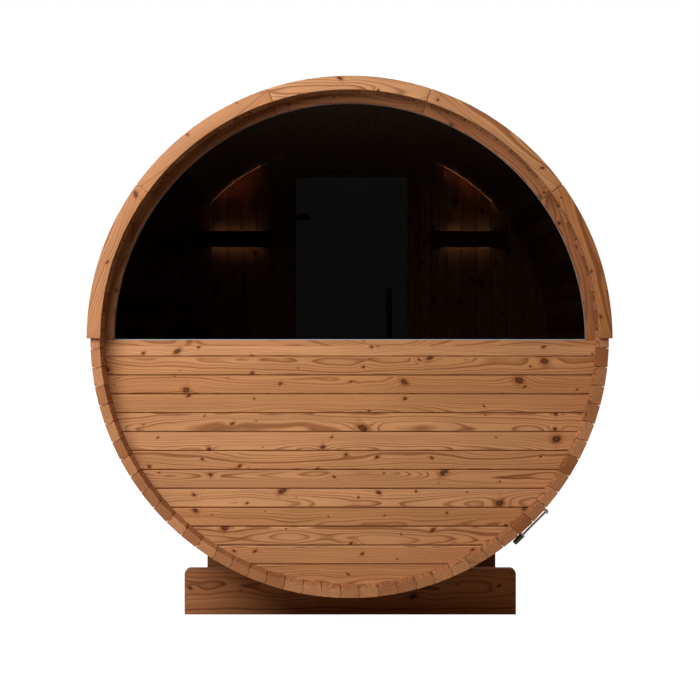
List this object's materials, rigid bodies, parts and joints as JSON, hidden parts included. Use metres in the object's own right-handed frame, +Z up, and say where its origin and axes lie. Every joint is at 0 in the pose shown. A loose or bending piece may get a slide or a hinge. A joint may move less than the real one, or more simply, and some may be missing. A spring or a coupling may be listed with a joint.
{
  "type": "barrel sauna",
  "caption": "Outdoor barrel sauna of wooden staves on cradles, with a half-round tinted window in one end wall and a hinged glass door in the other.",
  "frame": {"origin": "on the ground under the middle of the barrel", "axes": "+Z up, +Y along the barrel from the window end to the door end, +X to the right seen from the window end"},
  "size_m": [2.0786, 2.1646, 2.2033],
  "materials": {
    "shell_wood": "satin",
    "wall_wood": "satin",
    "trim_wood": "satin",
    "cradle_wood": "satin",
    "floor_wood": "satin",
    "tinted_glass": "polished",
    "stainless_steel": "brushed",
    "black_metal": "matte"
  },
  "bodies": {
    "barrel": {"stave_panel_01": "shell_wood", "stave_panel_02": "shell_wood", "stave_panel_03": "shell_wood", "stave_panel_04": "shell_wood", "stave_panel_05": "shell_wood", "stave_panel_06": "shell_wood", "stave_panel_07": "shell_wood", "stave_panel_08": "shell_wood", "stave_panel_09": "shell_wood", "stave_panel_10": "shell_wood", "stave_panel_11": "shell_wood", "stave_panel_12": "shell_wood", "window_arch_1": "trim_wood", "window_arch_2": "trim_wood", "window_arch_3": "trim_wood", "window_arch_4": "trim_wood", "window_arch_5": "trim_wood", "door_arch_1": "trim_wood", "door_arch_2": "trim_wood", "door_arch_3": "trim_wood", "door_arch_4": "trim_wood", "door_arch_5": "trim_wood", "window_frame_1": "trim_wood", "window_frame_2": "trim_wood", "window_frame_3": "trim_wood", "window_frame_4": "trim_wood", "window_frame_5": "trim_wood", "window_glass": "tinted_glass", "window_wall": "wall_wood", "door_wall_left": "wall_wood", "door_wall_right": "wall_wood", "door_wall_over": "wall_wood", "door_wall_under": "wall_wood", "door_jamb_left": "trim_wood", "door_jamb_right": "trim_wood", "door_head": "trim_wood", "door_threshold": "trim_wood", "upper_hinge_leaf": "black_metal", "lower_hinge_leaf": "black_metal", "lamp_shade_left": "trim_wood", "lamp_shade_right": "trim_wood", "floor_deck": "floor_wood", "ceiling_batten": "trim_wood", "window_cradle": "cradle_wood", "door_cradle": "cradle_wood", "window_hoop": "stainless_steel", "door_hoop": "stainless_steel", "window_tightener": "stainless_steel", "door_tightener": "stainless_steel"},
    "door": {"door_glass": "tinted_glass", "door_handle": "black_metal", "upper_hinge_clamp": "black_metal", "lower_hinge_clamp": "black_metal"}
  },
  "joints": [
    {"name": "door_swing", "type": "hinge", "parent": "barrel", "child": "door", "pos_m": [-0.302, 0.948, 1.164], "axis": [0, 0, 1], "range_deg": [0, 110]}
  ]
}
